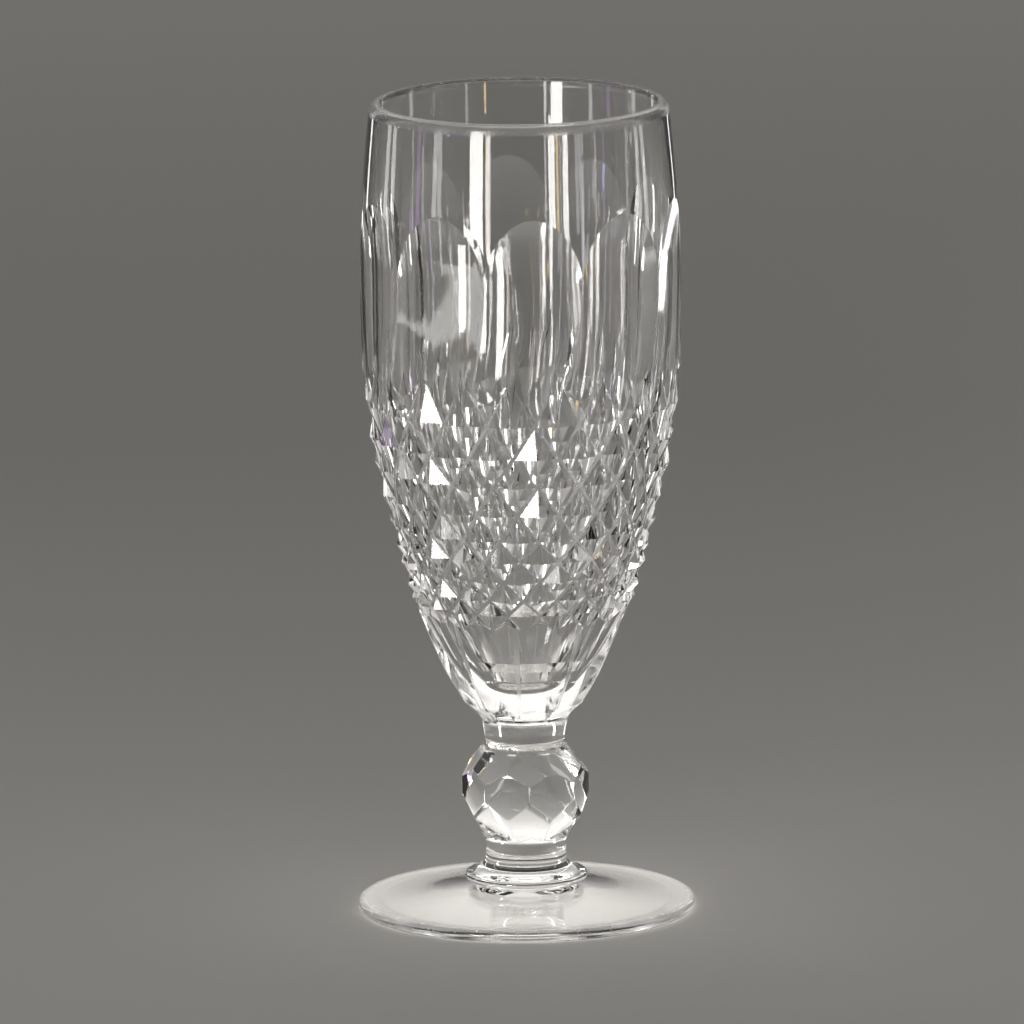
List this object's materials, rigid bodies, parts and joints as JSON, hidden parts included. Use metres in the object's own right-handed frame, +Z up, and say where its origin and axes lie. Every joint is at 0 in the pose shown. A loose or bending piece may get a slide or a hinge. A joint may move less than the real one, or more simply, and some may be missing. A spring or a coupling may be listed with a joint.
{
  "type": "champagne flute",
  "caption": "Short-stemmed cut-crystal champagne flute with arched flutes, a diamond-cut band, a faceted knop stem and a round foot.",
  "frame": {"origin": "centre of the foot's resting plane", "axes": "+Z up along the glass's axis, from the foot to the rim; -Y is the front, through the deepest line of one flute"},
  "size_m": [0.0628, 0.0628, 0.1524],
  "materials": {
    "bowl_crystal": "clear lead crystal, hand cut and acid polished",
    "stem_crystal": "clear lead crystal, flat polished facets",
    "collar_crystal": "clear lead crystal, fire polished",
    "foot_crystal": "clear lead crystal, polished top and a fine ground resting ring"
  },
  "bodies": {
    "root": {"bowl": "bowl_crystal", "faceted_stem": "stem_crystal", "collar_disc": "collar_crystal", "foot": "foot_crystal"}
  },
  "joints": []
}
